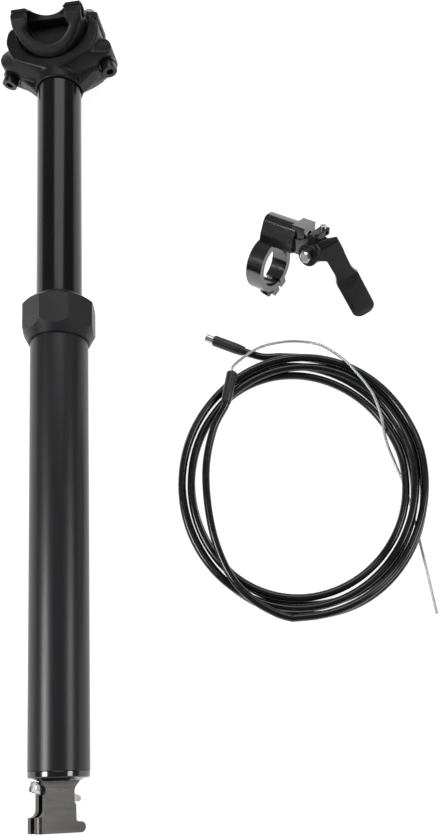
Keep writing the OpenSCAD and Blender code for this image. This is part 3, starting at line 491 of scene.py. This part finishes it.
# the cradle's end: a shallower scoop with a flared rim under two square ears, each with a rest behind the rail
cradleEnd = {
    "belly": [(27, -3.4), (27, -1.2), (13, -1.2), (13, -18), (17, -18)], "bellyHalf": 9,
    "flanks": [(27, -3.4), (27, -1.2), (13, -1.2), (13, -14), (19.7, -14)], "flanksHalf": 12.9,
    "scoopEnds": (13.2, 30), "scoopRadius": 12.2, "scoopFlare": 0.2, "scoopMid": -1.5, "scoopTop": 6, "scoopSteps": 32,
    "ear": [(27, 0.35), (27, -3.4), (24.2, -7.5), (22.6, -7.5), (25.5, -2.8), (25.5, 0.35)], "earSpan": (10.8, 20.2),
    "rest": [(18.5, -1.5), (18.5, 0.35), (14, 0.35), (14, -1.5)], "restSpan": (14.4, 20),
}


def cradleForms(side):
    e = cradleEnd
    scoop = []
    for y in e["scoopEnds"]:
        r = e["scoopRadius"] + e["scoopFlare"] * (y - e["scoopEnds"][0])
        bowl = arc(r, e["scoopMid"], 180, 360, e["scoopSteps"])
        scoop.append((y, [(-r, e["scoopTop"])] + bowl + [(r, e["scoopTop"])]))
    filled = [acrossBar(side, e[name], -e[name + "Half"], e[name + "Half"]) for name in ("belly", "flanks")]
    added = []
    for hand in (-1, 1):
        for name in ("ear", "rest"):
            added.append(acrossBar(side, e[name], *sorted(hand * x for x in e[name + "Span"])))
    return filled, [railForm(side), towardsEnd(side, scoop)], added


def noForms(side):
    return [], [], []


# forged pieces lose their sharp CAD edges: voxels and smoothing round them by about a millimetre
forgings = {
    "headForging": dict(node="post_head", voxel=0.4, passes=24, forms=noForms),
    "cradleForging": dict(
        node="lower_cradle", voxel=0.4, passes=12, forms=cradleForms, nose=dict(below=-5, fade=3, passes=60)),
    "clampForging": dict(node="upper_clamp", voxel=0.4, passes=12, forms=clampForms),
    "leverForging": dict(node="remote_lever", voxel=0.3, passes=4, forms=noForms),
}
weld = 0.002 * mm  # points of the CAD mesh nearer than this are one
crumb = 100  # parts of a voxel mesh with fewer points than this are specks


def copiedNode(name, node):
    bm = bmesh.new()
    bm.from_mesh(nodes[node].data)
    bmesh.ops.remove_doubles(bm, verts=bm.verts, dist=weld)
    return objectFrom(name, bm)


def withForms(piece, forms):
    # adds closed solids between outlines, placed in the saddle clamp's frame
    bm = bmesh.new()
    bm.from_mesh(piece.data)
    for stations in forms:
        rings = [[bm.verts.new(saddleFrame @ Vector(p) * mm) for p in outline] for outline in stations]
        caps = [bm.faces.new(rings[0]), bm.faces.new(list(reversed(rings[-1])))]
        bmesh.ops.recalc_face_normals(bm, faces=caps + walled(bm, rings))
    bm.to_mesh(piece.data)
    bm.free()


def remeshed(piece, voxel):
    remesh = piece.modifiers.new("remesh", "REMESH")
    remesh.mode = "VOXEL"
    remesh.voxel_size = voxel * mm
    baked(piece)


def cutAway(piece, stations):
    cutter = newObject("cutter", bpy.data.meshes.new("cutter"))
    withForms(cutter, [stations])
    knife = piece.modifiers.new("knife", "BOOLEAN")
    knife.operation = "DIFFERENCE"
    knife.object = cutter
    baked(piece)
    bpy.data.objects.remove(cutter)


def withoutCrumbs(piece):
    # the voxels leave a few specks beside the piece
    bm = bmesh.new()
    bm.from_mesh(piece.data)
    left, crumbs = set(bm.verts), []
    while left:
        front, island = [left.pop()], []
        while front:
            vertex = front.pop()
            island.append(vertex)
            near = {edge.other_vert(vertex) for edge in vertex.link_edges} & left
            left -= near
            front += near
        if len(island) < crumb:
            crumbs += island
    bmesh.ops.delete(bm, geom=crumbs, context="VERTS")
    bm.to_mesh(piece.data)
    bm.free()


def relaxed(piece, passes, group=""):
    relax = piece.modifiers.new("relax", "SMOOTH")
    relax.factor = 0.5
    relax.iterations = passes
    relax.vertex_group = group
    baked(piece)


def softNose(piece, below, fade, passes):
    # the ends of the cradle under the ears are rounder than the rest of it
    nose = piece.vertex_groups.new(name="nose")
    back = saddleFrame.inverted()
    for vertex in piece.data.vertices:
        height = (back @ (vertex.co / mm)).z
        nose.add([vertex.index], smooth((below - height) / fade), "REPLACE")
    relaxed(piece, passes, "nose")
    piece.vertex_groups.clear()


for name, spec in forgings.items():
    piece = copiedNode(name, spec["node"])
    filled, cut, added = (near + far for near, far in zip(spec["forms"](-1), spec["forms"](1)))
    if cut:
        withForms(piece, filled)
        remeshed(piece, spec["voxel"])
        for stations in cut:
            cutAway(piece, stations)
        withForms(piece, added)
    remeshed(piece, spec["voxel"])
    withoutCrumbs(piece)
    relaxed(piece, spec["passes"])
    if "nose" in spec:
        softNose(piece, **spec["nose"])
    shadeSmooth(piece)
    settle(piece, spec["node"])
print("forgings rounded")

# machined pieces get the small broken edges that catch the light: width in mm, on edges steeper than so many degrees
machined = {
    "collarPiece": dict(node="collar_nut", edge=0.5, segments=3, steeper=14),
    "remoteBody": dict(node="remote_clamp", edge=0.35, segments=2, steeper=35),
    "bracketPlates": dict(node="actuator_bracket", edge=0.3, segments=2, steeper=35),
    "rockerPiece": dict(node="release_rocker", edge=0.25, segments=2, steeper=35),
    "clampScrews": dict(node="clamp_bolts", edge=0.4, segments=2, steeper=35),
    "bandScrew": dict(node="band_bolt", edge=0.25, segments=2, steeper=35),
    "footPiece": dict(node="foot_cap", edge=0.2, segments=2, steeper=14),
}
flatWithin = math.radians(1)  # CAD triangles that differ less than this are one flat
machinedCrease = 40


def brokenEdges(piece, edge, segments, steeper):
    bm = bmesh.new()
    bm.from_mesh(piece.data)
    bmesh.ops.dissolve_limit(bm, angle_limit=flatWithin, verts=bm.verts, edges=bm.edges)
    bm.to_mesh(piece.data)
    bm.free()
    bevel = piece.modifiers.new("bevel", "BEVEL")
    bevel.width = edge * mm
    bevel.segments = segments
    bevel.limit_method = "ANGLE"
    bevel.angle_limit = math.radians(steeper)
    bevel.miter_outer = "MITER_ARC"
    baked(piece)
    shadeSmooth(piece, machinedCrease)
    flats = piece.modifiers.new("flats", "WEIGHTED_NORMAL")  # large faces keep their own direction
    flats.keep_sharp = True
    baked(piece)


for name, spec in machined.items():
    piece = copiedNode(name, spec["node"])
    brokenEdges(piece, spec["edge"], spec["segments"], spec["steeper"])
    settle(piece, spec["node"])
print("edges broken")

# rubber sleeve on the lever's end: a crowned cap with a row of grip ribs along one edge
grip = {
    "from": 23.4, "length": 28, "width": 13.2, "corner": 5.2, "cornerSteps": 8, "shoulder": 0.6,
    "under": -2.2, "top": 2.4, "rim": [(0.0, -0.5), (0.25, -0.1), (0.9, 0.25)],  # inset and height from the top
    "crown": 1.15, "crownInset": 1.1, "crownSteps": 5, "crease": 50,
    "ribs": 9, "ribStep": 2.15, "ribFirst": 27.2, "ribRadius": 0.75, "ribLength": 2.6,
    "ribSide": -1, "ribInset": 1.3, "ribRise": 0.2, "ribFacets": (10, 6),
}


def gripOutline(inset):
    # rounded corners towards the tip, square shoulders towards the arm
    g = grip
    x0, x1 = g["from"] + inset, g["from"] + g["length"] - inset
    half, r = g["width"] / 2 - inset, max(g["shoulder"], g["corner"] - inset)
    line = [(x0, -half + g["shoulder"]), (x0 + g["shoulder"], -half)]
    for k in range(g["cornerSteps"] + 1):
        a = math.radians(-90 + 90 * k / g["cornerSteps"])
        line.append((x1 - r + r * math.cos(a), -half + r + r * math.sin(a)))
    return line + [(x, -y) for x, y in reversed(line)]


def gripSleeve():
    g = grip
    levels = [(0.0, g["under"])] + [(inset, g["top"] + rise) for inset, rise in g["rim"]]
    rimInset = g["rim"][-1][0]
    for k in range(1, g["crownSteps"]):
        crowned = g["crown"] * (1 - (1 - k / g["crownSteps"]) ** 2)
        levels.append((rimInset + g["crownInset"] * k, g["top"] + crowned))
    bm = bmesh.new()
    rings = []
    for inset, z in levels:
        rings.append([bm.verts.new(bladeFrame @ Vector((x, y, z)) * mm) for x, y in gripOutline(inset)])
    walled(bm, rings)
    bm.faces.new(rings[-1])
    bm.faces.new(list(reversed(rings[0])))
    bmesh.ops.recalc_face_normals(bm, faces=bm.faces)
    sleeve = objectFrom("gripSleeve", bm)
    shadeSmooth(sleeve, g["crease"])
    return sleeve


settle(gripSleeve(), "thumb_pad")


def ribTree(inputs):
    # a row of stretched beads along x
    tree = bpy.data.node_groups.new("gripRibs", "GeometryNodeTree")
    for label, kind in inputs.items():
        tree.interface.new_socket(label, in_out="INPUT", socket_type=kind)
    tree.interface.new_socket("Geometry", in_out="OUTPUT", socket_type="NodeSocketGeometry")
    given = addNode(tree, "NodeGroupInput").outputs
    offset = addNode(tree, "ShaderNodeCombineXYZ", links={"X": given["Step"]})
    row = addNode(tree, "GeometryNodeMeshLine", links={"Count": given["Count"], "Offset": offset.outputs[0]})
    segments, rings = grip["ribFacets"]
    bead = addNode(
        tree, "GeometryNodeMeshUVSphere", {"Segments": segments, "Rings": rings}, {"Radius": given["Radius"]})
    ratio = addNode(tree, "ShaderNodeMath", links={0: given["Length"], 1: given["Radius"]}, operation="DIVIDE")
    stretch = addNode(tree, "ShaderNodeCombineXYZ", {"X": 1, "Z": 1}, {"Y": ratio.outputs[0]})
    placed = addNode(
        tree, "GeometryNodeInstanceOnPoints",
        links={"Points": row.outputs["Mesh"], "Instance": bead.outputs["Mesh"], "Scale": stretch.outputs[0]})
    real = addNode(tree, "GeometryNodeRealizeInstances", links={0: placed.outputs[0]})
    finished = addNode(
        tree, "GeometryNodeSetMaterial", links={"Geometry": real.outputs[0], "Material": given["Finish"]})
    addNode(tree, "NodeGroupOutput", links={"Geometry": finished.outputs[0]})
    return tree


ribs = newObject("gripRibs", bpy.data.meshes.new("gripRibs"))
maker = ribs.modifiers.new("ribs", "NODES")
maker.node_group = ribTree({
    "Count": "NodeSocketInt", "Step": "NodeSocketFloat", "Radius": "NodeSocketFloat", "Length": "NodeSocketFloat",
    "Finish": "NodeSocketMaterial"})
ribInputs = {
    "Count": grip["ribs"], "Step": grip["ribStep"] * mm, "Radius": grip["ribRadius"] * mm,
    "Length": grip["ribLength"] / 2 * mm, "Finish": materials[finishOf["thumb_pad"]],
}
for item in maker.node_group.interface.items_tree:
    if item.in_out == "INPUT":
        maker[item.identifier] = ribInputs[item.name]
baked(ribs)
ribEdge = grip["ribSide"] * (grip["width"] / 2 - grip["ribInset"])
ribPlace = bladeFrame @ Matrix.Translation((grip["ribFirst"], ribEdge, grip["top"] + grip["ribRise"]))
ribs.data.transform(Matrix.Scale(mm, 4) @ ribPlace @ Matrix.Scale(1 / mm, 4))
shadeSmooth(ribs)
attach(ribs, bodyOf["thumb_pad"])
print("grip made,", grip["ribs"], "ribs")

# pale table with a low rim all round, in metres
floor = {"radius": 3.0, "rise": 0.3, "steps": 10, "sides": 96}
paper = {"colour": "#f2f2f2", "seen": 0.9, "shade": 0.3}


def tableSheet():
    profile = [(floor["radius"], 0)]
    for k in range(1, floor["steps"] + 1):
        a = math.radians(90 * k / floor["steps"])
        profile.append((floor["radius"] + floor["rise"] * math.sin(a), floor["rise"] * (1 - math.cos(a))))
    bm = bmesh.new()
    turns = [2 * math.pi * j / floor["sides"] for j in range(floor["sides"])]
    rings = []
    for r, z in profile:
        rings.append([bm.verts.new((r * math.cos(a), r * math.sin(a), floorZ * mm + z)) for a in turns])
    bm.faces.new(rings[0])
    walled(bm, rings)
    return objectFrom("tableSheet", bm)


def paperMaterial():
    # matt white paper, seen as white by the lens and by gloss
    material = bpy.data.materials.new("studioPaper")
    material.use_nodes = True
    tree = material.node_tree
    tree.nodes.clear()
    path = addNode(tree, "ShaderNodeLightPath").outputs
    seen = addNode(
        tree, "ShaderNodeMath", links={0: path["Is Camera Ray"], 1: path["Is Glossy Ray"]}, operation="ADD")
    seenAll = addNode(
        tree, "ShaderNodeMath", links={0: seen.outputs[0], 1: path["Is Transmission Ray"]}, operation="ADD",
        use_clamp=True)
    plain = addNode(tree, "ShaderNodeBsdfDiffuse", {"Color": linear(paper["colour"])})
    shaded = addNode(tree, "ShaderNodeBsdfDiffuse", {"Color": (paper["shade"],) * 3 + (1,)})
    glow = addNode(tree, "ShaderNodeEmission", {"Color": (1, 1, 1, 1), "Strength": paper["seen"]})
    white = addNode(tree, "ShaderNodeAddShader", links={0: shaded.outputs[0], 1: glow.outputs[0]})
    mixed = addNode(
        tree, "ShaderNodeMixShader", links={0: seenAll.outputs[0], 1: plain.outputs[0], 2: white.outputs[0]})
    addNode(tree, "ShaderNodeOutputMaterial", links={"Surface": mixed.outputs[0]})
    return material


sheet = tableSheet()
sheet.data.materials.append(paperMaterial())

# soft boxes: one beyond the head for the stanchion's stripe, one on each side for the tube's bands, and a plain fill
lamps = {
    "headBox": dict(at=(0.14, 0.86, 1.02), aim=(0, 0.1, 0), size=(0.9, 0.78), watts=5.3, gloss=True),
    "leftBox": dict(at=(-1.03, -0.175, 1.06), aim=(0, -0.1, 0), size=(0.55, 0.46), watts=14, gloss=True),
    "rightBox": dict(at=(1.1, -0.1, 0.9), aim=(0, -0.05, 0), size=(0.6, 0.42), watts=5.6, gloss=True),
    "fillBox": dict(at=(0.1, -0.3, 1.6), aim=(0.05, 0, 0), size=(1.6, 1.6), watts=11, gloss=False),
}
for name, spec in lamps.items():
    data = bpy.data.lights.new(name, "AREA")
    data.shape = "RECTANGLE"
    data.size, data.size_y = spec["size"]
    data.energy = spec["watts"]
    lamp = bpy.data.objects.new(name, data)
    scene.collection.objects.link(lamp)
    lamp.location = spec["at"]
    lamp.rotation_euler = (Vector(spec["aim"]) - Vector(spec["at"])).to_track_quat("-Z", "Y").to_euler()
    lamp.visible_camera = False
    lamp.visible_glossy = spec["gloss"]
room = {"colour": "#e8eaec", "strength": 0.16}
world = bpy.data.worlds.new("studio")
world.use_nodes = True
background = world.node_tree.nodes["Background"]
background.inputs["Color"].default_value = linear(room["colour"])
background.inputs["Strength"].default_value = room["strength"]
scene.world = world
print("stage lit")
